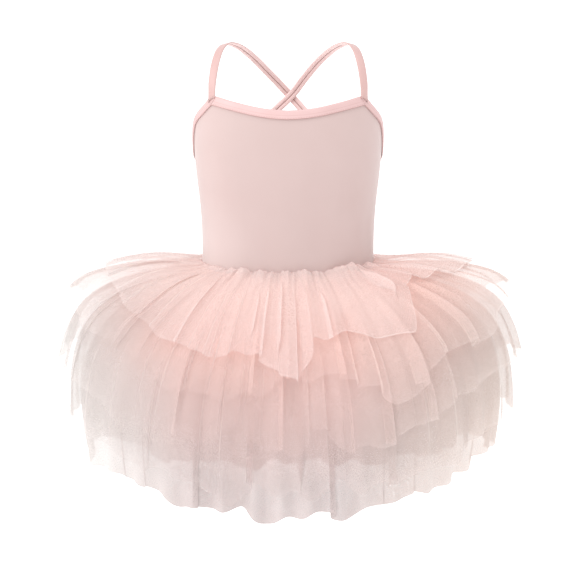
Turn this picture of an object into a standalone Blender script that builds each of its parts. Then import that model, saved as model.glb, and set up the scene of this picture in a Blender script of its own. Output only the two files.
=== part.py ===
"""A girl's ballet dress, filled out as it is worn: a close stretch bodice with bound edges,
two straps that cross at the back, and a skirt of five gathered tiers of tulle.

Metres, +Z up, the front towards -Y. The origin lies between the two strap tops, at the height
of the wearer's shoulders, so every level below is a drop from the shoulder."""

import math

import bpy
from mathutils import Vector

# Cloth thicknesses and the gap left between two pieces that are sewn together
JERSEY = 0.0012
TAPE = 0.0010
TULLE = 0.0012
STRAP_THICK = 0.0020
SEAM_GAP = 0.0003

# The bodice
WAIST = -0.229
BASQUE = 0.021
BINDING_WIDTH = 0.0080
STRAP_WIDTH = 0.0088
SIDE_SEAM = 90.0
NECK_CORNER = 50.5

# Level, half of the width and half of the depth of the bodice's inner face
BODICE_SECTIONS = (
    (-0.045, 0.0955, 0.0695),
    (-0.065, 0.0968, 0.0720),
    (-0.086, 0.0973, 0.0740),
    (-0.116, 0.0955, 0.0742),
    (-0.141, 0.0929, 0.0725),
    (-0.166, 0.0900, 0.0700),
    (-0.192, 0.0882, 0.0680),
    (-0.217, 0.0877, 0.0673),
    (-0.252, 0.0880, 0.0675),
)

# Angle from the centre front in degrees, and the level of the bodice's cut top edge there
TOP_EDGE = (
    (0.0, -0.0600),
    (10.0, -0.0591),
    (20.0, -0.0570),
    (30.0, -0.0542),
    (40.0, -0.0515),
    (50.5, -0.0490),
    (55.5, -0.0494),
    (59.0, -0.0540),
    (63.0, -0.0590),
    (68.0, -0.0642),
    (74.0, -0.0700),
    (79.0, -0.0762),
    (83.5, -0.0850),
    (87.0, -0.0945),
    (90.0, -0.1025),
    (95.0, -0.1105),
    (101.0, -0.1155),
    (110.0, -0.1195),
    (122.0, -0.1225),
    (138.0, -0.1255),
    (158.0, -0.1275),
    (180.0, -0.1285),
)

# Angles at which the two panels and their bindings are drawn, for one half of each
FRONT_COLUMNS = (0, 10, 20, 30, 40, 50.5, 55.5, 59, 63, 68, 74, 79, 83.5, 87, 90)
BACK_COLUMNS = (90, 95, 101, 107, 114, 122, 130, 138, 148, 158, 169, 180)
PANEL_ROWS = 6

# The left strap's middle line: across, back and up, from the front corner, over the shoulder,
# down past the crossing to its end inside the back panel. The last column is how far the strap
# faces straight forward or back, from 0 for fully outward to 1
STRAP_ROUTE = (
    (-0.0787, -0.0436, -0.0474, 0.46),
    (-0.0780, -0.0412, -0.0330, 0.66),
    (-0.0750, -0.0335, -0.0150, 0.80),
    (-0.0700, -0.0195, -0.0022, 0.70),
    (-0.0625, -0.0010, 0.0012, 0.55),
    (-0.0505, 0.0180, -0.0045, 0.50),
    (-0.0350, 0.0430, -0.0200, 0.42),
    (-0.0160, 0.0640, -0.0435, 0.42),
    (-0.0012, 0.0722, -0.0620, 0.42),
    (0.0225, 0.0710, -0.0860, 0.42),
    (0.0480, 0.0615, -0.1090, 0.38),
    (0.0605, 0.0522, -0.1235, 0.36),
    (0.0665, 0.0478, -0.1325, 0.36),
)
STRAP_STEPS = 3
CROSSING_REACH = 0.028
# The straps cross a little to the left of the wearer's spine
CROSSING_SHIFT = 0.0025
# The level of the middle of the body that the straps lie on
SHOULDER_CORE = -0.080

# The skirt: waves round each tier, and points for each wave
WAVES = 36
POINTS_A_WAVE = 3
TIER_STEP = 0.0042

# Distance along the tulle from its seam, and the slope below the horizontal in degrees of each
# tier in turn at the wearer's sides
SIDE_SLOPES = (
    (0.000, -11.0, -8.0, -4.0, 0.0, 3.0),
    (0.020, -11.0, -8.0, -2.0, 3.0, 8.0),
    (0.050, -4.0, 0.0, 7.0, 13.0, 20.0),
    (0.090, 13.0, 9.0, 20.0, 28.0, 37.0),
    (0.120, 19.0, 20.0, 36.0, 44.0, 53.0),
    (0.150, 30.0, 56.0, 64.0, 69.0, 75.0),
    (0.200, 50.0, 80.0, 84.0, 89.0, 95.0),
    (0.260, 60.0, 90.0, 90.0, 95.0, 104.0),
)

# The same distance, and the middle tier's slope at the front and at the back
END_SLOPES = (
    (0.000, 24.0, 24.0),
    (0.020, 40.0, 38.0),
    (0.050, 55.0, 52.0),
    (0.090, 66.0, 63.0),
    (0.140, 72.0, 70.0),
    (0.200, 77.0, 76.0),
    (0.260, 80.0, 79.0),
)
SLOPE_STEP = 0.0025

# Name, length of the tulle, how much steeper than the middle tier it hangs at the front and back
# in degrees, phase of its waves in degrees, and how far along it the rows of points lie
TIERS = (
    ("skirt_tier_1", 0.103, -7.0, 0.0, (0, 0.16, 0.50, 1)),
    ("skirt_tier_2", 0.143, -3.5, 140.0, (0, 0.12, 0.38, 0.70, 1)),
    ("skirt_tier_3", 0.187, 0.0, 60.0, (0, 0.09, 0.28, 0.52, 0.76, 1)),
    ("skirt_tier_4", 0.229, 3.5, 200.0, (0, 0.08, 0.23, 0.41, 0.60, 0.80, 1)),
    ("skirt_tier_5", 0.246, 7.0, 100.0, (0, 0.07, 0.21, 0.37, 0.55, 0.77, 1)),
)

# Where a tier's hem hangs lower or is caught up: tier, angle from the centre front, half of the
# stretch in degrees, and how much longer the tulle is there
FLAPS = (
    ("skirt_tier_1", 50.0, 17.0, 0.024),
    ("skirt_tier_1", 20.0, 15.0, -0.016),
    ("skirt_tier_1", -8.0, 11.0, 0.020),
    ("skirt_tier_2", 66.0, 14.0, 0.018),
    ("skirt_tier_2", 28.0, 12.0, -0.012),
    ("skirt_tier_2", -34.0, 16.0, 0.014),
    ("skirt_tier_3", 36.0, 12.0, 0.016),
    ("skirt_tier_3", -12.0, 12.0, -0.014),
    ("skirt_tier_3", -58.0, 16.0, 0.012),
)

PINK_JERSEY = (0.80, 0.60, 0.57)
PINK_TAPE = (0.83, 0.59, 0.57)
PINK_TULLE = (0.90, 0.68, 0.65)


def clear_scene():
    for thing in list(bpy.data.objects):
        bpy.data.objects.remove(thing, do_unlink=True)


def finish_of(name, colour, roughness):
    """One Principled material, shared by the pieces of the same cloth."""
    found = bpy.data.materials.get(name)
    if found:
        return found
    made = bpy.data.materials.new(name)
    made.use_nodes = True
    shader = made.node_tree.nodes["Principled BSDF"]
    shader.inputs["Base Color"].default_value = (*colour, 1)
    shader.inputs["Roughness"].default_value = roughness
    shader.inputs["Metallic"].default_value = 0
    return made


def read_off(table, at):
    """The table's other columns at the value `at` of its first one, on a smooth curve."""
    last = len(table) - 2
    row = next((i for i in range(last) if at < table[i + 1][0]), last)
    near = [table[min(max(row + i, 0), last + 1)] for i in (-1, 0, 1, 2)]
    start, end = near[1][0], near[2][0]
    share = min(max((at - start) / (end - start), 0), 1)
    found = []
    for before, here, there, after in zip(*(r[1:] for r in near)):
        leave = (there - before) / max(near[2][0] - near[0][0], 1e-9) * (end - start)
        arrive = (after - here) / max(near[3][0] - near[1][0], 1e-9) * (end - start)
        a = 2 * here - 2 * there + leave + arrive
        b = 3 * there - 3 * here - 2 * leave - arrive
        found.append(((a * share + b) * share + leave) * share + here)
    return found


def girth(level):
    """Half of the bodice's width and depth at a level."""
    rising = [(-row[0], *row[1:]) for row in BODICE_SECTIONS]
    return read_off(rising, -level)


def on_body(angle, level, out):
    """A point at that angle round the body, `out` beyond the bodice's inner face."""
    half_width, half_depth = girth(level)
    turn = math.radians(angle)
    normal = Vector((math.sin(turn) / half_width, -math.cos(turn) / half_depth, 0)).normalized()
    return Vector((half_width * math.sin(turn), -half_depth * math.cos(turn), level)) + out * normal


def top_edge(angle):
    """The level of the bodice's cut edge."""
    return read_off(TOP_EDGE, abs(angle) if abs(angle) <= 180 else 360 - abs(angle))[0]


def binding_depth(angle):
    """How far down the binding reaches at that angle: its width, more where the edge is steep."""
    level = top_edge(angle)
    ahead = on_body(angle + 1, top_edge(angle + 1), 0) - on_body(angle - 1, top_edge(angle - 1), 0)
    flat = math.hypot(ahead.x, ahead.y)
    return level - BINDING_WIDTH * ahead.length / flat


def add_object(name, points, faces, finish, sharp=40):
    mesh = bpy.data.meshes.new(name)
    mesh.from_pydata([tuple(p) for p in points], [], faces)
    mesh.materials.append(finish)
    mesh.shade_smooth()
    mesh.set_sharp_from_angle(angle=math.radians(sharp))
    thing = bpy.data.objects.new(name, mesh)
    bpy.context.scene.collection.objects.link(thing)
    return thing


def cloth_wall(name, inner, outer, finish, ring):
    """A closed wall between two grids of points. Each grid has rows from the top down, and each
    row runs anticlockwise seen from above, so that the outer face looks out."""
    rows, columns = len(inner), len(inner[0])
    points = [p for row in inner for p in row] + [p for row in outer for p in row]
    far = rows * columns
    spans = columns if ring else columns - 1
    faces = []
    for r in range(rows - 1):
        for c in range(spans):
            a, b = r * columns + c, r * columns + (c + 1) % columns
            d, e = a + columns, b + columns
            faces.append((a, b, e, d))
            faces.append((far + a, far + d, far + e, far + b))
    last = (rows - 1) * columns
    for c in range(spans):
        a, b = c, (c + 1) % columns
        faces.append((a, far + a, far + b, b))
        faces.append((last + a, last + b, far + last + b, far + last + a))
    if not ring:
        for r in range(rows - 1):
            a, d = r * columns, (r + 1) * columns
            faces.append((a, d, far + d, far + a))
            b, e = a + columns - 1, d + columns - 1
            faces.append((b, far + b, far + e, e))
    return add_object(name, points, faces, finish)


def swept(name, sections, finish):
    """A closed solid through sections that each hold the same number of points, clockwise as
    they are seen on the way along it."""
    count = len(sections[0])
    points = [p for section in sections for p in section]
    faces = [tuple(range(count))[::-1]]
    for s in range(len(sections) - 1):
        for c in range(count):
            a, b = s * count + c, s * count + (c + 1) % count
            faces.append((a, b, b + count, a + count))
    faces.append(tuple(range(len(points) - count, len(points))))
    return add_object(name, points, faces, finish)


def panel_angles(columns, about):
    """The columns of a whole panel, mirrored about its middle, short of the side seams."""
    trim = math.degrees(SEAM_GAP / 2 / girth(WAIST)[1])
    half = [min(max(a, SIDE_SEAM + trim), 180) if about else min(a, SIDE_SEAM - trim) for a in columns]
    if about:
        return half + [360 - a for a in reversed(half[:-1])]
    return [-a for a in reversed(half[1:])] + half


def make_panel(name, angles, finish):
    """A bodice panel: its first rows lie at the cut edge and under the binding's lower edge."""
    inner, outer = [], []
    bottom = WAIST - BASQUE
    for row in range(PANEL_ROWS + 2):
        levels = []
        for angle in angles:
            edge, under = top_edge(angle), binding_depth(angle)
            share = max(row - 1, 0) / PANEL_ROWS
            levels.append(edge if row == 0 else under + (bottom - under) * share)
        inner.append([on_body(a, z, 0) for a, z in zip(angles, levels)])
        outer.append([on_body(a, z, JERSEY) for a, z in zip(angles, levels)])
    return cloth_wall(name, inner, outer, finish, ring=False)


def make_binding(name, angles, finish):
    """A tape folded over the panel's cut edge, drawn from the panel's own points."""
    inside, outside = -SEAM_GAP - TAPE, JERSEY + SEAM_GAP + TAPE
    sections = []
    for angle in angles:
        edge, low = top_edge(angle), binding_depth(angle)
        fold, groove = edge + SEAM_GAP + TAPE, edge + SEAM_GAP
        corners = (
            (low, inside),
            (fold, inside),
            (fold, outside),
            (low, outside),
            (low, JERSEY + SEAM_GAP),
            (groove, JERSEY + SEAM_GAP),
            (groove, -SEAM_GAP),
            (low, -SEAM_GAP),
        )
        sections.append([on_body_at_edge(angle, edge, level, out) for level, out in corners])
    return swept(name, sections, finish)


def on_body_at_edge(angle, edge, level, out):
    """As on_body, but above the cut edge the binding goes straight up from the panel."""
    point = on_body(angle, min(level, edge), out)
    point.z = level
    return point


def make_strap(name, side, lift, finish):
    """A flat strap on its route. The lower one at the crossing has no lift."""
    steps = (len(STRAP_ROUTE) - 1) * STRAP_STEPS
    table = [(i, *row) for i, row in enumerate(STRAP_ROUTE)]
    line, leans = [], []
    for step in range(steps + 1):
        x, y, z, lean = read_off(table, step / STRAP_STEPS)
        away = math.hypot(x, z - STRAP_ROUTE[8][2]) / CROSSING_REACH
        near = math.exp(-away * away)
        line.append(Vector((x + side * CROSSING_SHIFT * near, y + lift * near, z)))
        leans.append(lean)
    sections = []
    for i, point in enumerate(line):
        ahead = (line[min(i + 1, steps)] - line[max(i - 1, 0)]).normalized()
        core = Vector((leans[i] * point.x, 0, min(point.z, SHOULDER_CORE)))
        up = point - core
        up = (up - ahead * up.dot(ahead)).normalized()
        across = ahead.cross(up)
        half, thick = STRAP_WIDTH / 2, STRAP_THICK / 2
        outline = ((-1, 0.4), (-0.7, 1), (0.7, 1), (1, 0.4), (1, -0.4), (0.7, -1), (-0.7, -1), (-1, -0.4))
        section = [point + across * (w * half) + up * (h * thick) for w, h in outline]
        if i == 0:
            section = [p + ahead * ((STRAP_ROUTE[0][2] - p.z) / ahead.z) for p in section]
        sections.append([Vector((p.x * side, p.y, p.z)) for p in section])
    if side < 0:
        sections = [section[::-1] for section in sections]
    return swept(name, sections, finish)


def slope_at(distance, angle, number, steeper):
    """The tulle's slope in radians at that distance from its seam."""
    side = read_off(SIDE_SLOPES, distance)[number]
    front, back = read_off(END_SLOPES, distance)
    turn = math.radians(angle)
    ends = (front if math.cos(turn) > 0 else back) + steeper * min(distance / 0.02, 1)
    sideways = math.sin(turn) ** 2
    return math.radians(side * sideways + ends * (1 - sideways))


def flap_length(name, angle):
    """How much longer the tulle is at that angle."""
    longer = 0
    for tier, centre, half, more in FLAPS:
        away = (angle - centre + 180) % 360 - 180
        if tier == name and abs(away) < half:
            longer += more * (1 + math.cos(math.pi * away / half)) / 2
    return longer


def hem_length(name, length, phase, angle):
    """The tulle's length at that angle, with its uneven cut and its flaps."""
    turn, shift = math.radians(angle), math.radians(phase)
    uneven = 0.010 * math.sin(5 * turn + shift) + 0.010 * math.sin(11 * turn - 2 * shift)
    return length * (1.004 - 0.016 * math.cos(4 * turn) + uneven) + flap_length(name, angle)


def fold_height(distance, angle, phase):
    """How far the tulle's folds lift it off the plain skirt at that place."""
    turn, shift = math.radians(angle), math.radians(phase)
    gather = 0.0014 * math.exp(-distance / 0.06) * (1 + math.cos(WAVES * turn))
    spacing = TIER_STEP * 0.7 + distance * 0.061
    ripple = max(0.30 * spacing - 0.0009, 0) * math.cos(WAVES * turn + shift)
    uneven = 1 + 0.20 * math.sin(4 * turn + shift) + 0.15 * math.sin(7 * turn - shift)
    wide = distance * (0.018 * math.sin(5 * turn + 1.3) + 0.018 * math.sin(9 * turn + 0.4))
    return gather + ripple * uneven * 0.9 + wide


def tier_grid(name, number, length, steeper, phase, rows):
    """The middle points of a tier's cloth and the way each looks out."""
    count = WAVES * POINTS_A_WAVE
    start = WAIST - number * TIER_STEP
    grid = [[] for _ in rows]
    for column in range(count):
        angle = 360 * column / count
        turn = math.radians(angle)
        away = Vector((math.sin(turn), -math.cos(turn), 0))
        whole = hem_length(name, length, phase, angle)
        lean = math.sin(slope_at(0, angle, number, steeper))
        clear = TULLE / 2 * abs(lean) + max(-lean, 0) * fold_height(0, angle, phase)
        place = on_body(angle, start, JERSEY + SEAM_GAP * 1.3 + clear)
        distance, wanted = 0.0, [share * whole for share in rows]
        for row, target in enumerate(wanted):
            while distance < target - 1e-9:
                step = min(SLOPE_STEP, target - distance)
                slope = slope_at(distance + step / 2, angle, number, steeper)
                place = place + step * (math.cos(slope) * away - math.sin(slope) * Vector((0, 0, 1)))
                distance += step
            slope = slope_at(distance, angle, number, steeper)
            outward = math.sin(slope) * away + math.cos(slope) * Vector((0, 0, 1))
            grid[row].append(place + outward * fold_height(distance, angle, phase))
    return grid


def thickened(grid, thickness):
    """The inner and outer faces of a ring of cloth, half of the thickness either side of it."""
    rows, columns = len(grid), len(grid[0])
    inner, outer = [], []
    for r in range(rows):
        low, high = [], []
        for c in range(columns):
            along = grid[r][(c + 1) % columns] - grid[r][c - 1]
            down = grid[min(r + 1, rows - 1)][c] - grid[max(r - 1, 0)][c]
            normal = down.cross(along).normalized() * (thickness / 2)
            low.append(grid[r][c] - normal)
            high.append(grid[r][c] + normal)
        inner.append(low)
        outer.append(high)
    return inner, outer


def make_bodice():
    jersey = finish_of("pink_jersey", PINK_JERSEY, 0.45)
    tape = finish_of("pink_tape", PINK_TAPE, 0.40)
    front = panel_angles(FRONT_COLUMNS, 0)
    back = panel_angles(BACK_COLUMNS, 180)
    make_panel("front_panel", front, jersey)
    make_panel("back_panel", back, jersey)
    trim = math.degrees(SEAM_GAP / 2 / girth(top_edge(NECK_CORNER))[0])
    neck = [a for a in front if abs(a) < NECK_CORNER]
    make_binding("neck_binding", [-NECK_CORNER + trim, *neck, NECK_CORNER - trim], tape)
    right = [NECK_CORNER + trim] + [a for a in front if a > NECK_CORNER]
    make_binding("armhole_binding_right", right, tape)
    make_binding("armhole_binding_left", [-a for a in reversed(right)], tape)
    make_binding("back_binding", back, tape)
    make_strap("strap_left", 1, STRAP_THICK + SEAM_GAP * 3, tape)
    make_strap("strap_right", -1, 0, tape)


def make_skirt():
    tulle = finish_of("pink_tulle", PINK_TULLE, 0.60)
    for number, (name, length, steeper, phase, rows) in enumerate(TIERS):
        grid = tier_grid(name, number, length, steeper, phase, rows)
        inner, outer = thickened(grid, TULLE)
        cloth_wall(name, inner, outer, tulle, ring=True)


clear_scene()
make_bodice()
make_skirt()
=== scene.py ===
import math

import bpy
import numpy as np
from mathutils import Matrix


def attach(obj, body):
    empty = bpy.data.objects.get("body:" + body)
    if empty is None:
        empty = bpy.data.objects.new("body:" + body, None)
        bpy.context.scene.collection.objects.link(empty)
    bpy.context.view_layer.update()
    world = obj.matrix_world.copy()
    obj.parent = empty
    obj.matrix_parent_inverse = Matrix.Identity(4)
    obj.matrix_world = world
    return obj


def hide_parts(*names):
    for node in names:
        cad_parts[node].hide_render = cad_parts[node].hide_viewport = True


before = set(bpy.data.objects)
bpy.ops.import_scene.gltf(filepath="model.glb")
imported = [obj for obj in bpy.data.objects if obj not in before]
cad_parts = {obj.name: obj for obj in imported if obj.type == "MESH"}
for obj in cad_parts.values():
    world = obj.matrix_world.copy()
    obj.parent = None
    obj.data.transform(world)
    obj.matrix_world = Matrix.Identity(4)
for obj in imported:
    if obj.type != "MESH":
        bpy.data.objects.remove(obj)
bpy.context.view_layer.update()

# The bodice is a front and a back panel of thin polyamide jersey with a satin face, cut to the
# same top line and sewn to each other down the sides. It is stretched smooth over the body, and
# its lower edge goes on under the skirt as a short basque that the tulle is sewn to.
JERSEY = 0.0012
SEAM_GAP = 0.0003
WAIST = -0.229
BASQUE = 0.021
SIDE_SEAM = 90.0
# Half of the depth over which a side seam's gap is turned into degrees
SEAM_HALF_DEPTH = 0.0675
PANEL_ROWS, PANEL_COLUMNS = 34, 91

# Level, half of the width and half of the depth of the bodice's inner face
BODICE_SECTIONS = (
    (-0.045, 0.0955, 0.0695),
    (-0.065, 0.0968, 0.0720),
    (-0.086, 0.0973, 0.0740),
    (-0.116, 0.0955, 0.0742),
    (-0.141, 0.0929, 0.0725),
    (-0.166, 0.0900, 0.0700),
    (-0.192, 0.0882, 0.0680),
    (-0.217, 0.0877, 0.0673),
    (-0.252, 0.0880, 0.0675),
)

# Angle from the centre front in degrees, and the level of the cut top edge there
TOP_EDGE = (
    (0.0, -0.0600),
    (10.0, -0.0591),
    (20.0, -0.0570),
    (30.0, -0.0542),
    (40.0, -0.0515),
    (50.5, -0.0490),
    (55.5, -0.0494),
    (59.0, -0.0540),
    (63.0, -0.0590),
    (68.0, -0.0642),
    (74.0, -0.0700),
    (79.0, -0.0762),
    (83.5, -0.0850),
    (87.0, -0.0945),
    (90.0, -0.1025),
    (95.0, -0.1105),
    (101.0, -0.1155),
    (110.0, -0.1195),
    (122.0, -0.1225),
    (138.0, -0.1255),
    (158.0, -0.1275),
    (180.0, -0.1285),
)

# Soft dents in the jersey: angle and level of the middle, half of the width in degrees, half of
# the height, and depth, all but the angles in metres
DENTS = (
    (-38, -0.178, 9, 0.030, 0.0012),
    (-14, -0.205, 8, 0.024, 0.0009),
    (22, -0.196, 10, 0.026, 0.0012),
    (44, -0.160, 8, 0.034, 0.0011),
    (8, -0.120, 14, 0.022, -0.0010),
    (-62, -0.150, 9, 0.030, 0.0010),
    (66, -0.190, 8, 0.024, 0.0012),
    (118, -0.190, 10, 0.026, 0.0012),
    (150, -0.205, 8, 0.022, 0.0010),
    (196, -0.170, 12, 0.030, 0.0010),
    (232, -0.200, 9, 0.026, 0.0012),
)


def read_off(table, at):
    """The table's other columns at the values `at` of its first, on a smooth curve."""
    rows = np.array(table, dtype=float)
    x, y = rows[:, 0], rows[:, 1:]
    here, last = np.arange(len(x)), len(x) - 1
    before, after = np.maximum(here - 1, 0), np.minimum(here + 1, last)
    grade = (y[after] - y[before]) / (x[after] - x[before])[:, None]
    at = np.asarray(at, dtype=float)
    row = np.clip(np.searchsorted(x, at, side="right") - 1, 0, last - 1)
    span = x[row + 1] - x[row]
    share = np.clip((at - x[row]) / span, 0, 1)
    found = []
    for k in range(y.shape[1]):
        low, high = y[row, k], y[row + 1, k]
        leave, arrive = grade[row, k] * span, grade[row + 1, k] * span
        a = 2 * low - 2 * high + leave + arrive
        b = 3 * high - 3 * low - 2 * leave - arrive
        found.append(((a * share + b) * share + leave) * share + low)
    return found


def half_sizes(level):
    """Half of the width and half of the depth of the bodice's inner face at those levels."""
    rising = [(-height, wide, deep) for height, wide, deep in BODICE_SECTIONS]
    return read_off(rising, -np.asarray(level))


def on_body(angle, level, out):
    """Points at those angles and levels, `out` beyond the bodice's inner face."""
    half_width, half_depth = half_sizes(level)
    turn = np.radians(angle)
    across, along = np.sin(turn) / half_width, -np.cos(turn) / half_depth
    length = np.hypot(across, along)
    x = half_width * np.sin(turn) + out * across / length
    y = -half_depth * np.cos(turn) + out * along / length
    return np.stack(np.broadcast_arrays(x, y, level), axis=-1)


def near_zero(angle):
    """The same directions as angles from -180 to 180."""
    return (np.asarray(angle, dtype=float) + 180) % 360 - 180


def top_edge(angle):
    """The level of the cut top edge at those angles."""
    return read_off(TOP_EDGE, np.abs(near_zero(angle)))[0]


def cloth_piece(name, points, faces, finish, places, marks=None):
    """A smooth mesh with its place on the cloth in metres as UVs, and marks for its finish."""
    mesh = bpy.data.meshes.new(name)
    mesh.from_pydata(points.reshape(-1, 3).tolist(), [], faces)
    corner = np.empty(len(mesh.loops), dtype=np.int32)
    mesh.loops.foreach_get("vertex_index", corner)
    layer = mesh.uv_layers.new(name="cloth")
    layer.data.foreach_set("uv", places.reshape(-1, 2)[corner].astype(np.float32).ravel())
    if marks is not None:
        layer = mesh.color_attributes.new(name="marks", type="FLOAT_COLOR", domain="POINT")
        layer.data.foreach_set("color", marks.reshape(-1, 4).astype(np.float32).ravel())
    mesh.materials.append(finish)
    mesh.shade_smooth()
    piece = bpy.data.objects.new(name, mesh)
    bpy.context.scene.collection.objects.link(piece)
    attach(piece, "root")
    return piece


def grid_faces(rows, columns, ring, start=0, flip=False):
    """The faces between neighbouring rows and columns of a grid of points."""
    faces = []
    for r in range(rows - 1):
        for c in range(columns if ring else columns - 1):
            a, b = start + r * columns + c, start + r * columns + (c + 1) % columns
            face = (a, a + columns, b + columns, b)
            faces.append(face[::-1] if flip else face)
    return faces


def distance_along(line):
    """How far each point of a line lies from its first, along the line."""
    return np.pad(np.linalg.norm(np.diff(line, axis=0), axis=-1).cumsum(), (1, 0))


def rim_faces(rows, columns):
    """The faces that join the edges of an outer grid and an inner one that follows it."""
    top = list(range(columns))
    right = [r * columns + columns - 1 for r in range(1, rows)]
    bottom = [(rows - 1) * columns + c for c in range(columns - 2, -1, -1)]
    left = [r * columns for r in range(rows - 2, 0, -1)]
    edge, far = top + right + bottom + left, rows * columns
    return [(a, b, b + far, a + far) for a, b in zip(edge, edge[1:] + edge[:1])]


class Value:
    """A socket of a finish that takes part in sums and products."""

    def __init__(self, finish, socket):
        self.finish, self.socket = finish, socket

    def maths(self, operation, first, second):
        return self.finish.node("ShaderNodeMath", {"operation": operation}, {0: first, 1: second})

    def __add__(self, other):
        return self.maths("ADD", self, other)

    def __radd__(self, other):
        return self.maths("ADD", other, self)

    def __sub__(self, other):
        return self.maths("SUBTRACT", self, other)

    def __rsub__(self, other):
        return self.maths("SUBTRACT", other, self)

    def __mul__(self, other):
        return self.maths("MULTIPLY", self, other)

    def __rmul__(self, other):
        return self.maths("MULTIPLY", other, self)

    def __lt__(self, other):
        return self.maths("LESS_THAN", self, other)

    def __gt__(self, other):
        return self.maths("GREATER_THAN", self, other)


class Finish:
    """A material under its Principled shader, whose other nodes are added one by one."""

    def __init__(self, name, **constant):
        self.material = bpy.data.materials.new(name)
        self.material.use_nodes = True
        self.tree = self.material.node_tree
        self.shader = self.tree.nodes["Principled BSDF"]
        for socket, value in constant.items():
            self.shader.inputs[socket.replace("_", " ")].default_value = value

    def node(self, kind, settings, values, out=0):
        made = self.tree.nodes.new(kind)
        for key, setting in settings.items():
            setattr(made, key, setting)
        for key, value in values.items():
            self.feed(made.inputs[key], value)
        return Value(self, made.outputs[out])

    def feed(self, socket, value):
        if isinstance(value, Value):
            self.tree.links.new(value.socket, socket)
        elif hasattr(value, "__len__") and len(value) == 3 and socket.type == "RGBA":
            socket.default_value = (*value, 1)
        else:
            socket.default_value = value

    def set(self, **values):
        for key, value in values.items():
            self.feed(self.shader.inputs[key.replace("_", " ")], value)

    def tint(self, first, second, share):
        """One colour turning into another."""
        return self.node("ShaderNodeMix", {"data_type": "RGBA"}, {0: share, 6: first, 7: second}, out=2)

    def ramp(self, value, start, end):
        """From 0 where the value is at the start to 1 where it is at the end, and no further."""
        return self.node("ShaderNodeMapRange", {}, {0: value, 1: start, 2: end})

    def cloth(self):
        """The place on the cloth in metres: along it and across it."""
        place = self.node("ShaderNodeUVMap", {"uv_map": "cloth"}, {})
        apart = self.node("ShaderNodeSeparateXYZ", {}, {0: place})
        return apart, Value(self, apart.socket.node.outputs[1])

    def cloud(self, scale):
        """Uneven values from 0 to 1, with no place where they repeat."""
        spot = self.node("ShaderNodeTexCoord", {}, {}, out=3)
        return self.node("ShaderNodeTexNoise", {}, {"Vector": spot, "Scale": scale, "Detail": 3.0})

    def sine(self, angle):
        return self.node("ShaderNodeMath", {"operation": "SINE"}, {0: angle})

    def stripes(self, place, spacing):
        """Soft stripes, from 0 to 1 and back once in each spacing."""
        return self.sine(place * (2 * math.pi / spacing)) * 0.5 + 0.5

    def relief(self, height, strength, distance):
        """A bump that feeds the shader's normal."""
        values = {"Strength": strength, "Distance": distance, "Height": height}
        self.set(Normal=self.node("ShaderNodeBump", {}, values))


# The jersey's knitted ribs are under a millimetre apart, so they only break up its satin sheen.
# It has a painted highlight low down by the left side seam, and painted shade that makes it
# deeper in colour towards the middle.
RIB_SPACING, COURSE_SPACING, TAPE_RIB_SPACING = 0.0009, 0.0007, 0.0008

jersey = Finish("pink_jersey", Roughness=0.46, Sheen_Weight=0.38, Sheen_Roughness=0.45)
jersey.shader.inputs["Specular IOR Level"].default_value = 0.35
along, across = jersey.cloth()
ribs = jersey.stripes(along, RIB_SPACING)
courses = jersey.stripes(across, COURSE_SPACING)
lit = jersey.tint((0.560, 0.421, 0.400), (0.602, 0.466, 0.449), jersey.cloud(26.0))
# Painted highlight: the colour turns paler low down by the left side seam.
low_down = jersey.ramp(across, -0.150, -0.222)
by_the_side = jersey.ramp(along, 0.100, 0.030)
lit = jersey.tint(lit, (0.740, 0.625, 0.605), low_down * by_the_side * 0.75)
# Painted shade: the colour turns darker towards the middle of the panels.
middle_shade = jersey.ramp(along, 0.040, 0.080) * (1.0 - jersey.ramp(along, 0.130, 0.180) * 0.5)
lit = jersey.tint(lit, (0.460, 0.350, 0.335), middle_shade * 0.42)
jersey.set(Base_Color=jersey.tint(lit, (0.538, 0.378, 0.353), ribs * courses * 0.22))
jersey.set(Roughness=0.40 + 0.14 * jersey.cloud(90.0))
jersey.relief(ribs * 0.6 + courses * 0.4, 0.10, 0.0002)


def panel_wall(name, angles, node):
    """One bodice panel as a closed wall over the form that its solid has."""
    edge = top_edge(angles)
    level = edge + (WAIST - BASQUE - edge) * np.linspace(0, 1, PANEL_ROWS)[:, None]
    angle = np.broadcast_to(angles, level.shape)
    dent = np.zeros(level.shape)
    for middle, height, wide, tall, depth in DENTS:
        away = near_zero(angle - middle) / wide
        dent += depth * np.exp(-(away**2) - ((level - height) / tall) ** 2)
    edge_hold = np.clip((edge - level) / 0.02, 0, 1) * np.clip((level - WAIST) / 0.02, 0, 1)
    outer = on_body(angle, level, JERSEY - dent * edge_hold)
    inner = on_body(angle, level, -dent * edge_hold)
    points = np.stack([outer, inner])
    girth = np.hypot(*np.moveaxis(np.diff(outer, axis=1), -1, 0)[:2]).cumsum(axis=1)
    girth = np.pad(girth, ((0, 0), (1, 0)))
    places = np.stack([np.stack([girth, level], axis=-1)] * 2)
    size = PANEL_ROWS, PANEL_COLUMNS
    faces = grid_faces(*size, False) + grid_faces(*size, False, PANEL_ROWS * PANEL_COLUMNS, True)
    faces += rim_faces(*size)
    piece = cloth_piece(name, points, faces, jersey.material, places)
    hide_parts(node)
    return piece


seam_trim = math.degrees(SEAM_GAP / 2 / SEAM_HALF_DEPTH)
front_ends = -SIDE_SEAM + seam_trim, SIDE_SEAM - seam_trim
back_ends = SIDE_SEAM + seam_trim, 360 - SIDE_SEAM - seam_trim
front = panel_wall("bodice_front", np.linspace(*front_ends, PANEL_COLUMNS), "front_panel")
back = panel_wall("bodice_back", np.linspace(*back_ends, PANEL_COLUMNS), "back_panel")

# The neckline, both armholes and the back are bound with tape of the same jersey, folded over
# the cut edge and sewn through with one row of stitches near its lower edge. The armhole
# bindings go on as the straps.
TAPE = 0.0010
BINDING_WIDTH = 0.0080
NECK_CORNER = 50.5
# The tapes meet on a slant at the corner: their lower edges lie this many degrees further round.
# From the corner on, the slant dies out within these degrees of neckline and of armhole.
CORNER_SLANT = 3.0
NECK_REACH, ARMHOLE_REACH = 7.0, 3.0
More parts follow.
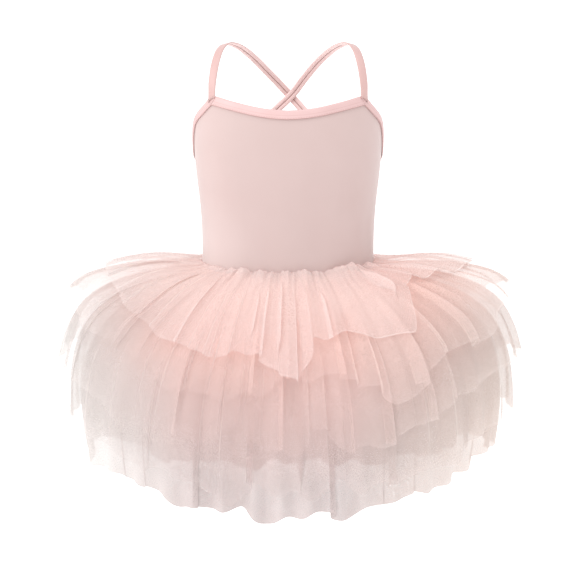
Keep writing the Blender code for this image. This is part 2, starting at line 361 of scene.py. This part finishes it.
# Half of the gap between the tapes at the corner, as metres over the bodice's half width
CORNER_GAP, CORNER_HALF_WIDTH = 0.00002, 0.095
# The armhole tapes are drawn in to this width by the pull of the armhole
ARMHOLE_WIDTH = 0.0070
# How far the outer face of the folded tape stands up in its middle
TAPE_SWELL = 0.00035
STITCH_SPACING = 0.0026
# Across the tape from its lower edge: the painted shadow of the crease beside it, the row of
# stitches, the painted shade of the line down the middle and the end of the outer face. The
# painted shade at the joint at the tape's start is as wide as the crease shadow.
CREASE_SHADOW_WIDTH = 0.0006
STITCH_FROM, STITCH_TO = 0.0012, 0.0019
MIDDLE_FROM, MIDDLE_TO = 0.0042, 0.0047
OUTER_FACE = 0.0100

tape = Finish("pink_tape", Sheen_Weight=0.25, Sheen_Roughness=0.4)
along, across = tape.cloth()
stitch = tape.sine(along * (2 * math.pi / STITCH_SPACING)) > -0.35
stitch = stitch * (across > STITCH_FROM) * (across < STITCH_TO)
# Painted shadow: a dark band in the crease along the tape's lower edge, and painted shade at half
# strength where the tape starts at its joint.
joint_shade = (along < CREASE_SHADOW_WIDTH) * (across < OUTER_FACE) * 0.5
crease_shadow = (across < CREASE_SHADOW_WIDTH) + joint_shade
ribs = tape.stripes(along, TAPE_RIB_SPACING)
plain = tape.tint((0.630, 0.420, 0.408), (0.680, 0.470, 0.460), tape.cloud(60.0))
# Painted shade: a dark line down the middle of the tape stands for the shade in a groove between two
# ridges.
middle_groove_shade = (across > MIDDLE_FROM) * (across < MIDDLE_TO)
stitched_and_shaded = tape.tint(plain, (0.50, 0.29, 0.27), stitch * 0.45 + middle_groove_shade * 0.45)
tape.set(Base_Color=tape.tint(stitched_and_shaded, (0.40, 0.19, 0.17), crease_shadow * 0.65))
tape.set(Roughness=0.42 + 0.12 * tape.cloud(120.0))
tape.relief(ribs * 0.25 - stitch * 0.9, 0.35, 0.0003)


def tape_edge(angles):
    """The angles and levels of the tape's lower edge. It runs square to the cut edge, but for
    the slant at the corner and the straight side seams."""
    ends = np.stack([angles - 3, angles + 3])
    ahead = np.diff(on_body(ends, top_edge(ends), 0), axis=0)[0]
    length, flat = np.linalg.norm(ahead, axis=-1), np.hypot(ahead[:, 0], ahead[:, 1])
    past = np.abs(angles) - NECK_CORNER
    width = BINDING_WIDTH + (ARMHOLE_WIDTH - BINDING_WIDTH) * np.clip(past / 10, 0, 1)
    square = np.clip(np.abs(np.abs(near_zero(angles)) - SIDE_SEAM) / 12, 0, 1)
    slant = np.exp(-((past / np.where(past < 0, NECK_REACH, ARMHOLE_REACH)) ** 2))
    round_at = angles + square * width * ahead[:, 2] / length / flat * 6
    round_at += np.sign(angles) * CORNER_SLANT * slant
    drop = square * flat / length + (1 - square) * length / flat
    return round_at, top_edge(angles) - width * drop


def folded_tape(name, angles, node):
    """A binding over those angles, as a tape folded round over the cut edge. Each point of its
    profile has a share of the way up to the fold, a rise, a distance out and a place across."""
    edge = top_edge(angles)
    low_angle, low = tape_edge(angles)
    inside, outside = -SEAM_GAP - TAPE, JERSEY + SEAM_GAP + TAPE
    middle, radius = (inside + outside) / 2, (outside - inside) / 2
    profile = []
    for share in np.linspace(0, 1, 7):
        swell = TAPE_SWELL * math.sin(math.pi * share)
        profile.append((share, 0.0, outside + swell, share * BINDING_WIDTH))
    for turn in np.linspace(0, math.pi, 9)[1:-1]:
        rise, out = radius * math.sin(turn), middle + radius * math.cos(turn)
        profile.append((1, rise, out, 0.009 + 0.001 * turn))
    for share in np.linspace(1, 0, 5):
        profile.append((share, 0.0, inside, 0.013 + (1 - share) * 0.004))
    profile += [(0, 0, -SEAM_GAP, 0.0175), (1, 0, -SEAM_GAP, 0.018)]
    profile += [(1, 0, JERSEY + SEAM_GAP, 0.0185), (0, 0, JERSEY + SEAM_GAP, 0.019)]
    fold = edge + SEAM_GAP + TAPE - radius
    rings, places = [], []
    length = distance_along(on_body(angles, edge, 0))
    for share, rise, out, across_at in profile:
        level = low + (fold - low) * share + rise
        round_at = low_angle + (angles - low_angle) * share
        point = on_body(round_at, np.minimum(level, top_edge(round_at)), out)
        point[:, 2] = level
        rings.append(point)
        places.append(np.stack([length, np.full(len(angles), across_at)], axis=-1))
    points, places = np.stack(rings, axis=1), np.stack(places, axis=1)
    count = len(profile)
    faces = grid_faces(len(angles), count, True)
    last = (len(angles) - 1) * count
    faces += [tuple(range(count)), tuple(range(last, last + count))[::-1]]
    piece = cloth_piece(name, points, faces, tape.material, places)
    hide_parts(node)


corner_trim = math.degrees(CORNER_GAP / CORNER_HALF_WIDTH)
neckline = np.linspace(-NECK_CORNER + corner_trim, NECK_CORNER - corner_trim, 81)
folded_tape("neckline_tape", neckline, "neck_binding")
armhole = np.linspace(NECK_CORNER + corner_trim, SIDE_SEAM - seam_trim, 60)
folded_tape("armhole_tape_right", armhole, "armhole_binding_right")
folded_tape("armhole_tape_left", -armhole[::-1], "armhole_binding_left")
folded_tape("back_tape", np.linspace(*back_ends, 121), "back_binding")

# Each strap is a narrow tube of the tape, pressed flat with its seam down its inner face. It leaves
# the armhole binding at the front, crosses its fellow behind the wearer's back and is sewn
# inside the top of the back panel.
STRAP_WIDTH = 0.0088
STRAP_THICK = 0.0020
SHOULDER_CORE = -0.080
CROSSING = -0.0620
CROSSING_REACH = 0.028
CROSSING_SHIFT = 0.0025
# The level of the neckline's corner, and how far the strap's foot goes down into the tape there
CORNER_LEVEL = -0.049
FOOT_SUNK = 0.0020

# Across, back and up, from the front corner over the shoulder to the end inside the back panel,
# and how far the strap faces straight forward or back there
STRAP_ROUTE = (
    (-0.0787, -0.0436, -0.0474, 0.46),
    (-0.0780, -0.0412, -0.0330, 0.66),
    (-0.0750, -0.0335, -0.0150, 0.80),
    (-0.0700, -0.0195, -0.0022, 0.70),
    (-0.0625, -0.0010, 0.0012, 0.55),
    (-0.0505, 0.0180, -0.0045, 0.50),
    (-0.0350, 0.0430, -0.0200, 0.42),
    (-0.0160, 0.0640, -0.0435, 0.42),
    (-0.0012, 0.0722, -0.0620, 0.42),
    (0.0225, 0.0710, -0.0860, 0.42),
    (0.0480, 0.0615, -0.1090, 0.38),
    (0.0605, 0.0522, -0.1235, 0.36),
    (0.0665, 0.0478, -0.1325, 0.36),
)

# Across and up on the strap's section, as shares of half of its width and of its thickness
STRAP_SECTION = (
    (-1.00, 0.00),
    (-0.96, 0.62),
    (-0.80, 1.00),
    (-0.30, 1.00),
    (0.30, 1.00),
    (0.80, 1.00),
    (0.96, 0.62),
    (1.00, 0.00),
    (0.96, -0.62),
    (0.80, -1.00),
    (0.45, -1.00),
    (0.14, -0.86),
    (0.00, -0.30),
    (-0.14, -0.86),
    (-0.45, -1.00),
    (-0.80, -1.00),
    (-0.96, -0.62),
)
# Where the inner face begins across the strap, as its finish sees it, and the groove on it
INNER_FACE = 0.020
GROOVE_FROM, GROOVE_TO = 0.0039, 0.0049

band = Finish("pink_strap", Sheen_Weight=0.40, Sheen_Roughness=0.4)
along, across = band.cloth()
inner = across > (INNER_FACE - 0.002)
# Painted shade: the groove down the inner face and the strap's edges are drawn darker.
groove_shade = (across > INNER_FACE + GROOVE_FROM) * (across < INNER_FACE + GROOVE_TO)
brink_shade = (across > STRAP_WIDTH + 0.0005) * (across < INNER_FACE - 0.0005)
ribs = band.stripes(along, TAPE_RIB_SPACING)
# Both faces are the same tape, but the inner face, seen behind the back, is painted much paler: painted
# light to lift the shade that falls on it there.
outer_face = band.tint((0.565, 0.360, 0.340), (0.610, 0.405, 0.385), band.cloud(60.0))
inner_face_painted_light = band.tint((0.900, 0.660, 0.640), (0.940, 0.710, 0.690), band.cloud(50.0))
plain = band.tint(outer_face, inner_face_painted_light, inner)
band.set(Base_Color=band.tint(plain, (0.46, 0.24, 0.22), groove_shade * 0.8 + brink_shade * 0.4))
band.set(Roughness=0.42 + 0.12 * band.cloud(120.0))
band.relief(ribs, 0.12, 0.0002)


def strap_tube(name, side, lift, node):
    """A strap swept along its route. The one that lies below at the crossing has no lift."""
    last = len(STRAP_ROUTE) - 1
    steps = last * 10
    numbered = [(i, *row) for i, row in enumerate(STRAP_ROUTE)]
    x, y, z, lean = read_off(numbered, np.linspace(0, last, steps + 1))
    near = np.exp(-(x**2 + (z - CROSSING) ** 2) / CROSSING_REACH**2)
    x, y = x + side * CROSSING_SHIFT * near, y + lift * near
    line = np.stack([x, y, z], axis=-1)
    ring = np.arange(steps + 1)
    ahead = line[np.minimum(ring + 1, steps)] - line[np.maximum(ring - 1, 0)]
    ahead /= np.linalg.norm(ahead, axis=-1, keepdims=True)
    up = line - np.stack([lean * x, 0 * x, np.minimum(z, SHOULDER_CORE)], axis=-1)
    up -= ahead * (up * ahead).sum(axis=-1, keepdims=True)
    up /= np.linalg.norm(up, axis=-1, keepdims=True)
    wide = np.cross(ahead, up)
    section = np.array(STRAP_SECTION)
    points = line[:, None] + wide[:, None] * section[:, 0, None] * STRAP_WIDTH / 2
    points = points + up[:, None] * section[:, 1, None] * STRAP_THICK / 2
    at = np.degrees(np.arcsin(-points[0, :, 0] / half_sizes(CORNER_LEVEL)[0]))
    foot = top_edge(at) + SEAM_GAP + TAPE - FOOT_SUNK
    points[0] += ahead[0] * ((foot - points[0, :, 2]) / ahead[0, 2])[:, None]
    points[..., 0] *= side
    length = distance_along(line)
    seam_side = (section[:, 0] + 1) * STRAP_WIDTH / 2 + np.where(section[:, 1] >= 0, 0, INNER_FACE)
    places = np.stack(np.broadcast_arrays(length[:, None], seam_side[None]), axis=-1)
    count = len(section)
    faces = grid_faces(steps + 1, count, True, flip=side > 0)
    ends = [tuple(range(count)), tuple(range(steps * count, (steps + 1) * count))[::-1]]
    faces += [end if side < 0 else end[::-1] for end in ends]
    piece = cloth_piece(name, points, faces, band.material, places)
    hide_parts(node)


strap_tube("strap_over", 1, STRAP_THICK + SEAM_GAP * 3, "strap_left")
strap_tube("strap_under", -1, 0.0, "strap_right")

# The skirt is five strips of soft nylon tulle, each longer than the one above it, gathered along
# one edge and sewn round the basque a few millimetres below the last. The net is thin enough to
# see through, so colour builds up where the tiers and their pleats lie over each other.
WAVES = 36
TIER_STEP = 0.0042
COLUMNS = 1440
# How far above the hem the last row but one of each tier lies
HEM_ROW = 0.0016
# The distance along the tulle between two steps of its path, and where the path ends
PATH_STEP, PATH_END = 0.0025, 0.31
# The distance along the tulle at which its mark for distance is 1
FULL_MARK = 0.30
# The net's holes are this far apart
HOLE_SPACING = 0.00125

# Distance along the tulle from its seam, and the slope below the horizontal in degrees of each
# tier in turn at the wearer's sides
SIDE_SLOPES = (
    (0.000, -11.0, -8.0, -4.0, 0.0, 3.0),
    (0.020, -11.0, -8.0, -2.0, 3.0, 8.0),
    (0.050, -4.0, 0.0, 7.0, 13.0, 20.0),
    (0.090, 13.0, 9.0, 20.0, 28.0, 37.0),
    (0.120, 19.0, 20.0, 36.0, 44.0, 53.0),
    (0.150, 30.0, 56.0, 64.0, 69.0, 75.0),
    (0.200, 50.0, 80.0, 84.0, 89.0, 95.0),
    (0.260, 60.0, 90.0, 90.0, 95.0, 104.0),
)

# The same distance, and the middle tier's slope at the front and at the back
END_SLOPES = (
    (0.000, 24.0, 24.0),
    (0.020, 40.0, 38.0),
    (0.050, 55.0, 52.0),
    (0.090, 66.0, 63.0),
    (0.140, 72.0, 70.0),
    (0.200, 77.0, 76.0),
    (0.260, 80.0, 79.0),
)

# For each tier: its node, the length of the tulle, how much steeper than the middle tier it
# hangs at the front and back, the phase of its waves, its number of rows, its width as cut
TIERS = (
    ("skirt_tier_1", 0.103, -7.0, 0.0, 26, 1.20),
    ("skirt_tier_2", 0.143, -3.5, 140.0, 30, 1.30),
    ("skirt_tier_3", 0.187, 0.0, 60.0, 34, 1.40),
    ("skirt_tier_4", 0.229, 3.5, 200.0, 36, 1.45),
    ("skirt_tier_5", 0.246, 7.0, 100.0, 38, 1.45),
)

# Angle from the centre front, and how much further each tier hangs there in metres
HEM_DROPS = (
    (-180.0, 0.000, 0.002, 0.000, 0.000, 0.000),
    (-150.0, 0.006, -0.006, 0.008, 0.000, 0.001),
    (-120.0, -0.006, 0.008, -0.006, 0.003, 0.000),
    (-90.0, 0.000, 0.002, 0.000, 0.000, 0.000),
    (-62.0, 0.006, 0.008, 0.010, 0.002, 0.000),
    (-44.0, 0.014, 0.006, 0.018, 0.000, 0.001),
    (-33.0, 0.018, 0.014, 0.012, -0.002, -0.001),
    (-25.0, 0.012, 0.012, -0.004, 0.002, 0.000),
    (-17.0, 0.002, 0.000, -0.010, 0.000, -0.002),
    (-11.0, 0.004, -0.006, -0.004, -0.002, 0.000),
    (-7.0, 0.022, -0.010, 0.000, 0.000, 0.000),
    (0.0, 0.024, -0.012, 0.002, 0.002, 0.001),
    (5.0, 0.022, -0.020, 0.000, 0.000, -0.001),
    (8.5, -0.012, -0.022, -0.004, -0.002, -0.002),
    (14.0, -0.014, -0.020, -0.004, 0.000, 0.000),
    (22.0, -0.014, -0.012, 0.002, 0.000, 0.002),
    (29.0, -0.008, 0.016, 0.010, 0.002, 0.000),
    (36.0, 0.000, 0.020, 0.014, 0.000, 0.000),
    (42.5, 0.013, 0.016, 0.006, -0.003, -0.002),
    (45.0, 0.004, 0.010, 0.000, -0.001, -0.001),
    (49.0, -0.022, 0.000, -0.010, 0.000, 0.000),
    (55.0, -0.040, 0.010, -0.004, 0.000, 0.000),
    (61.0, -0.046, 0.014, -0.002, 0.001, 0.000),
    (67.0, -0.028, 0.012, 0.000, 0.002, 0.001),
    (78.0, -0.006, 0.004, 0.000, 0.001, 0.001),
    (90.0, 0.000, 0.002, 0.000, 0.000, 0.000),
    (120.0, 0.005, -0.004, 0.008, 0.000, 0.002),
    (150.0, -0.006, 0.006, -0.006, 0.003, 0.000),
    (180.0, 0.000, 0.002, 0.000, 0.000, 0.000),
)

# Pleats that the tulle is laid in: tier, angle of the middle, half of the width, how far the
# cloth laps over itself, both in degrees, height in metres, and the shares of the tulle's
# length over which it opens and closes. A pleat that laps the other way has a negative lap.
PLEATS = (
    (0, 47.0, 2.4, 3.2, 0.0040, 0.02, 0.7),
    (0, -3.4, 1.3, 1.5, 0.0022, 0.05, 0.9),
    (0, 6.0, 1.5, -1.8, 0.0028, 0.10, 2.0),
    (0, -10.0, 1.4, 1.6, 0.0024, 0.10, 2.0),
    (0, 16.5, 1.3, 1.4, 0.0018, 0.25, 2.0),
    (0, 30.5, 5.0, 0.9, 0.0008, 0.30, 2.0),
    (0, -24.0, 1.6, -1.8, 0.0020, 0.15, 2.0),
    (0, -38.0, 1.8, 1.9, 0.0022, 0.10, 2.0),
    (0, -55.0, 2.0, -2.2, 0.0022, 0.10, 2.0),
    (0, -72.0, 2.0, 2.0, 0.0022, 0.10, 2.0),
    (0, 66.0, 2.0, -2.0, 0.0022, 0.10, 2.0),
    (0, 80.0, 2.0, 2.2, 0.0022, 0.10, 2.0),
    (1, 19.0, 1.4, 1.8, 0.0026, 0.30, 2.0),
    (1, 27.0, 1.6, -2.0, 0.0028, 0.25, 2.0),
    (1, 41.0, 1.8, 2.2, 0.0034, 0.20, 2.0),
    (1, 2.0, 1.5, -1.7, 0.0022, 0.30, 2.0),
    (1, -13.0, 1.6, 1.8, 0.0024, 0.20, 2.0),
    (1, -29.0, 1.8, -2.0, 0.0026, 0.15, 2.0),
    (1, -47.0, 1.8, 2.0, 0.0026, 0.15, 2.0),
    (1, 58.0, 1.8, 2.0, 0.0026, 0.15, 2.0),
    (2, 33.0, 1.6, 2.0, 0.0028, 0.30, 2.0),
    (2, 10.0, 1.5, -1.7, 0.0024, 0.35, 2.0),
    (2, -2.5, 1.5, 1.8, 0.0024, 0.40, 2.0),
    (2, -20.0, 1.6, -1.9, 0.0026, 0.30, 2.0),
    (2, -36.0, 1.8, 2.1, 0.0028, 0.20, 2.0),
    (2, 48.0, 1.8, -2.1, 0.0028, 0.20, 2.0),
)
# Smaller pleats of each tier, drawn by chance between those
LOOSE_PLEATS = (44, 38, 32, 24, 20)

# How ragged each tier's hem is at the front and the back, as a share of its length
RAGGED = (0.030, 0.040, 0.042, 0.026, 0.008)

# Puffs where the gathers spring from the seam: angle, half of the width, height
PUFFS = (
    (38.0, 10.0, 0.0085),
    (12.0, 4.0, 0.0042),
    (1.0, 3.6, 0.0038),
    (-16.0, 4.0, 0.0046),
    (-29.0, 3.6, 0.0038),
    (-56.0, 5.0, 0.0026),
    (62.0, 5.0, 0.0040),
)


def tulle_paths(number, steeper):
    """How far out and down a tier has come at each degree and each step of its length, and its
    slope there, before any fold."""
    distance = np.arange(0, PATH_END, PATH_STEP)
    degrees = np.arange(361)
    side = read_off(SIDE_SLOPES, distance)[number]
    front_slope, back_slope = read_off(END_SLOPES, distance)
    turn = np.radians(degrees)[:, None]
    ends = np.where(np.cos(turn) > 0, front_slope, back_slope) + steeper * np.minimum(distance / 0.02, 1)
    slope = np.radians(side * np.sin(turn) ** 2 + ends * (1 - np.sin(turn) ** 2))
    middle = (slope[:, 1:] + slope[:, :-1]) / 2
    out = np.pad(np.cos(middle).cumsum(axis=1) * PATH_STEP, ((0, 0), (1, 0)))
    down = np.pad(np.sin(middle).cumsum(axis=1) * PATH_STEP, ((0, 0), (1, 0)))
    return np.stack([out, down, slope])


def look_up(paths, angle, distance):
    """The paths at any angle and distance, between their own."""
    a, d = np.mod(angle, 360), np.clip(distance / PATH_STEP, 0, paths.shape[2] - 1.001)
    i, j = a.astype(int), d.astype(int)
    u, v = a - i, d - j
    low = paths[:, i, j] * (1 - v) + paths[:, i, j + 1] * v
    high = paths[:, i + 1, j] * (1 - v) + paths[:, i + 1, j + 1] * v
    return low * (1 - u) + high * u


def hem_length(number, length, phase, angle):
    """The tulle's length at those angles, with its uneven cut."""
    turn, shift = np.radians(angle), math.radians(phase)
    uneven = 0.010 * np.sin(5 * turn + shift) + 0.010 * np.sin(11 * turn - 2 * shift)
    uneven += 0.006 * np.sin(23 * turn + 3 * shift) + 0.004 * np.sin(41 * turn - shift)
    ragged = RAGGED[number] * np.cos(turn) ** 2
    uneven += ragged * (np.sin(14 * turn + 2 * shift) + np.sin(25 * turn - shift + 1))
    drop = read_off(HEM_DROPS, near_zero(angle))[number]
    return length * (1.004 - 0.016 * np.cos(4 * turn) + uneven) + drop


def lay_pleats(number, angle, share, distance):
    """How far the pleats shift the tulle round the skirt in degrees and lift it in metres."""
    drawn = np.random.default_rng(310 + number)
    pleats = [row[1:] for row in PLEATS if row[0] == number]
    for k in range(LOOSE_PLEATS[number]):
        middle = 360 * (k + drawn.uniform(-0.3, 0.3)) / LOOSE_PLEATS[number]
        wide = drawn.uniform(0.9, 1.8) + 0.25 * number
        lap = wide * drawn.uniform(0.6, 1.1) * drawn.choice((-1, 1))
        height = drawn.uniform(0.0007, 0.0014)
        opens, closes = drawn.uniform(0.0, 0.35), drawn.uniform(0.6, 2.0)
        if all(abs(near_zero(middle - placed[0])) > 2.2 * placed[1] for placed in pleats):
            pleats.append((middle, wide, lap, height, opens, closes))
    # A pleat is calmer near the wearer's sides, where it would stand out as a point
    calm = 1 - 0.90 * np.exp(-(((np.abs(near_zero(angle)) - 90) / 16) ** 2))
    shift, lift = np.zeros(angle.shape), np.zeros(angle.shape)
    for middle, wide, lap, height, opens, closes in pleats:
        away = near_zero(angle - middle) / wide
        near = np.abs(away) < 3.5
        ramp = np.clip((share - opens) / 0.25, 0, 1) * np.clip((closes - share) / 0.2, 0, 1)
        ramp = ramp * ramp * (3 - 2 * ramp)
        turn = np.where(near, -2.33 * away * np.exp(-(away**2)), 0) * ramp * calm
        shift += lap * turn
        lift += height * turn * (1 if lap > 0 else -1) * np.minimum(0.4 + distance / 0.09, 1.6)
    return shift, lift


def fold_height(angle, distance, phase, number):
    """How far the gathers and the waves lift the tulle off the plain skirt."""
    turn, shift = np.radians(angle), math.radians(phase)
    near_seam = np.exp(-distance / 0.06)
    stray = WAVES * turn + 1.1 * np.sin(5 * turn + 1 + shift) + 0.9 * np.sin(13 * turn + 2)
    swell = np.sqrt((1.0005 + np.cos(stray)) / 2)
    gather = 0.0028 * near_seam * swell * (0.75 + 0.35 * np.sin(9 * turn + 0.6))
    fine = 0.0007 * np.exp(-distance / 0.05) * np.cos(94 * turn + 2.0 * np.sin(7 * turn + shift))
    spacing = TIER_STEP * 0.7 + distance * 0.061
    ripple = np.maximum(0.30 * spacing - 0.0009, 0) * np.cos(WAVES * turn + shift)
    uneven = 1 + 0.20 * np.sin(4 * turn + shift) + 0.15 * np.sin(7 * turn - shift)
    wide = distance * (0.018 * np.sin(5 * turn + 1.3) + 0.018 * np.sin(9 * turn + 0.4))
    puff = np.zeros(angle.shape)
    for middle, half, height in PUFFS:
        away = near_zero(angle - middle) / half
        puff += height * np.exp(-(away**2) - ((distance - 0.009) / 0.009) ** 2)
    crown = 0.0024 * swell * np.exp(-(((distance - 0.005) / 0.005) ** 2))
    return gather + fine + ripple * uneven * 0.9 + wide + (puff + crown) * max(1 - number * 0.5, 0)


# The tulle's colours, painted with light and shade: a warm painted shade where it is gathered,
# a cool painted shade where it runs thin, and greyer at both sides, as painted light on the lit
# left and painted shade on the right, with an ember shade and a pale painted highlight
CORAL = (0.92, 0.66, 0.60)
ROSE = (0.83, 0.60, 0.565)
DUSK = (0.52, 0.44, 0.43)
EMBER_SHADE = (0.92, 0.54, 0.47)
LIT_LEFT_CAST = (0.64, 0.60, 0.58)
SHADED_RIGHT_CAST = (0.68, 0.585, 0.54)
PALE_HIGHLIGHT = (0.90, 0.81, 0.79)

# For each tier: the name of its finish, the colour of its net (one tulle, given painted shade
# that is darkest and greyest on the lowest tier), how much of the warm painted shade of the
# gathers shows in it, how much it covers, how much thinner it is at the hem, and how strong the
# painted highlight on its cut edge is
NETS = (
    ("tulle_top", (0.86, 0.72, 0.70), 0.30, 0.45, 0.18, 0.16),
    ("tulle_second", (0.90, 0.62, 0.56), 0.60, 0.48, 0.36, 0.06),
    ("tulle_third", (0.88, 0.58, 0.52), 0.75, 0.50, 0.36, 0.05),
    ("tulle_fourth", (0.80, 0.60, 0.56), 0.85, 0.54, 0.24, 0.03),
    ("tulle_lowest", (0.54, 0.455, 0.44), 0.92, 0.80, -0.16, 0.03),
)


def net_finish(name, veil, warmth, cover, fade, edge):
    """Fine net: its colour runs from the seam outward, with painted light and shade: a warm painted
    shade in the gathers that greys outward, greyer painted light on the lit left, and tan painted
    shade on the right, with ember painted shade in patches near the seam and on the right. It is
    denser where it is gathered or folded, and its six-sided holes are a little over a millimetre
    apart. Towards the hem it stands free of its own folds, so that less of it covers what lies
    below. Its cut edge shows as a painted highlight, a pale line strongest on the right, where the
    light comes through, and the crests of its folds get a paler painted highlight too."""
    net = Finish(name, Roughness=0.75, Sheen_Weight=0.15, Sheen_Roughness=0.6)
    net.shader.inputs["Specular IOR Level"].default_value = 0.15
    marks = net.node("ShaderNodeAttribute", {"attribute_name": "marks"}, {})
    apart = net.node("ShaderNodeSeparateColor", {}, {0: marks})
    run, crest, out = (Value(net, apart.socket.node.outputs[k]) for k in range(3))
    to_right = Value(net, marks.socket.node.outputs["Alpha"])
    # Painted shade and light: warm in the gathers, grey outward, ember patches, greyer on the lit left
    # and tan on the shaded right.
    cloudy = net.cloud(14.0)
    warm = net.tint(CORAL, ROSE, out * 3.2 - cloudy * 1.2 + 0.1)
    ground = net.tint(warm, DUSK, out * 2.2 - 0.85 + cloudy * 0.5)
    ember_shade = net.ramp(net.cloud(11.0), 0.56, 0.76) * net.ramp(out, 0.60, 0.25) * 0.8
    ember_shade = ember_shade + net.ramp(to_right, 0.80, 0.93) * net.ramp(out, 0.52, 0.26) * 0.55
    ground = net.tint(net.tint(ground, EMBER_SHADE, ember_shade), veil, 1.0 - warmth)
    ground = net.tint(ground, LIT_LEFT_CAST, net.ramp(to_right, 0.22, 0.0) * net.ramp(out, 0.0, 0.55))
    ground = net.tint(ground, SHADED_RIGHT_CAST, net.ramp(to_right, 0.66, 1.0) * net.ramp(out, 0.05, 0.60))
    # Painted highlight: a pale line along the hem, strongest on the right, and paler crests where the
    # pleats turn back.
    pale_hem_line = (run > 0.984) * (net.ramp(to_right, 0.50, 0.80) + 0.2) * edge
    net.set(Base_Color=net.tint(ground, PALE_HIGHLIGHT, crest * 0.25 + pale_hem_line * 1.5))
    place = net.node("ShaderNodeUVMap", {"uv_map": "cloth"}, {})
    spots = {"Vector": place, "Scale": 1 / HOLE_SPACING}
    holes = net.node("ShaderNodeTexVoronoi", {"feature": "DISTANCE_TO_EDGE"}, spots)
    threads = 1.0 - holes * 3.0
    facing = net.ramp(to_right, 0.0, 0.10) * net.ramp(to_right, 1.0, 0.90)
    thin = run * run * run * fade * facing * (1.25 - to_right * 0.6)
    dense = cover + crest * 0.20 + cloudy * 0.20 - 0.10 - thin + pale_hem_line * 0.6
    net.set(Alpha=dense * (0.72 + threads * 0.40))
    return net.material


def make_tier(number, finish):
    """A tier as one thin surface over its solid's form, laid in waves and pleats."""
    node, length, steeper, phase, rows, cut_width = TIERS[number]
    angle = np.arange(COLUMNS) * 360 / COLUMNS
    whole = hem_length(number, length, phase, angle)
    share = np.concatenate([np.linspace(0, 0.14, 7)[:-1], np.linspace(0.14, 1, rows - 7), [1.0]])
    share[-2] = 1 - HEM_ROW / length
    share, angle = share[:, None] * np.ones(COLUMNS), angle[None] * np.ones((rows, 1))
    distance = share * whole
    shift, lift = lay_pleats(number, angle, share, distance)
    placed = angle + shift
    paths = tulle_paths(number, steeper)
    out, down, slope = look_up(paths, placed, distance)
    height = fold_height(placed, distance, phase, number) + lift
    start = WAIST - number * TIER_STEP
    seam_slope = np.sin(look_up(paths, placed, 0 * distance)[2])
    clear = np.maximum(-seam_slope, 0) * fold_height(placed, 0 * distance, phase, number)
    base = on_body(placed, np.full(placed.shape, start), JERSEY + SEAM_GAP * 2 + clear)
    turn = np.radians(placed)
    away = np.stack([np.sin(turn), -np.cos(turn), 0 * turn], axis=-1)
    up = np.array([0, 0, 1.0])
    points = base + out[..., None] * away - down[..., None] * up
    points += height[..., None] * (np.sin(slope)[..., None] * away + np.cos(slope)[..., None] * up)
    # Where a pleat turns back, neighbouring columns lie close together, which makes a crest
    stretch = near_zero(np.roll(placed, -1, axis=1) - np.roll(placed, 1, axis=1))
    crest = np.exp(-((stretch / (720 / COLUMNS) / 0.40) ** 2)) * np.clip(share * 5, 0, 1)
    marks = np.stack([share, crest, distance / FULL_MARK, 0.5 + 0.5 * np.sin(turn)], axis=-1)
    across = angle / 360 * cut_width
    places = np.stack([across, distance], axis=-1)
    faces = grid_faces(rows, COLUMNS, True)
    piece = cloth_piece("tulle_" + node[-1], points, faces, finish, places, marks)
    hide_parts(node)


for number, net in enumerate(NETS):
    make_tier(number, net_finish(*net))

# The studio: a plain white floor at the height of a child's feet, even light from all round, a
# broad soft lamp high on the left, and a long lens a little above the waist, as in the photo.
FLOOR = -0.88
FLOOR_RADIUS = 8
CAMERA_RISE = math.radians(9.0)
LENS = 500.0
LAMP_TARGET = (0, 0, -0.22)
# The photo's width in pixels, the size of a pixel at the dress, and the pixel row of the strap
# tops and column of the dress's middle
PHOTO_WIDTH, PIXEL = 573, 0.00104
STRAP_TOPS_ROW, MIDDLE_COLUMN = 46, 288

world = bpy.data.worlds.new("studio_air")
world.use_nodes = True
world.node_tree.nodes["Background"].inputs[0].default_value = (1, 1, 1, 1)
world.node_tree.nodes["Background"].inputs[1].default_value = 1.0
bpy.context.scene.world = world
bpy.context.scene.view_settings.view_transform = "Standard"
bpy.context.scene.cycles.transparent_max_bounces = 48

white = Finish("floor_white", Roughness=0.9, Base_Color=(0.92, 0.92, 0.92, 1))
white.shader.inputs["Emission Color"].default_value = (1, 1, 1, 1)
white.shader.inputs["Emission Strength"].default_value = 0.45
turns = np.linspace(0, 2 * math.pi, 49)[:-1]
ring = [(FLOOR_RADIUS * math.cos(a), FLOOR_RADIUS * math.sin(a), FLOOR) for a in turns]
floor_mesh = bpy.data.meshes.new("floor")
floor_mesh.from_pydata(ring, [], [tuple(range(len(ring)))])
floor_mesh.materials.append(white.material)
floor = bpy.data.objects.new("floor", floor_mesh)
bpy.context.scene.collection.objects.link(floor)


def soft_lamp(name, place, size, power):
    """A round lamp that faces the dress."""
    light = bpy.data.lights.new(name, "AREA")
    light.shape, light.size, light.energy = "DISK", size, power
    lamp = bpy.data.objects.new(name, light)
    lamp.location = place
    facing = np.array(LAMP_TARGET) - np.array(place)
    tilt = math.atan2(np.hypot(facing[0], facing[1]), -facing[2])
    lamp.rotation_euler = (tilt, 0, math.atan2(facing[1], facing[0]) - math.pi / 2)
    bpy.context.scene.collection.objects.link(lamp)


soft_lamp("lamp_left", (-1.7, -0.9, 0.7), 1.2, 14.0)
soft_lamp("lamp_top", (0.2, -0.8, 1.9), 1.4, 15.0)

camera = bpy.data.objects.new("camera", bpy.data.cameras.new("camera"))
camera.data.lens, camera.data.sensor_width = LENS, 36.0
camera.data.clip_end = 40.0
reach = PHOTO_WIDTH * PIXEL * LENS / camera.data.sensor_width
aim_level = -(PHOTO_WIDTH / 2 - STRAP_TOPS_ROW) * PIXEL / math.cos(CAMERA_RISE)
aim_across = (PHOTO_WIDTH / 2 - MIDDLE_COLUMN) * PIXEL
camera.location = (aim_across, -reach * math.cos(CAMERA_RISE), aim_level + reach * math.sin(CAMERA_RISE))
camera.rotation_euler = (math.pi / 2 - CAMERA_RISE, 0, 0)
bpy.context.scene.collection.objects.link(camera)
bpy.context.scene.camera = camera
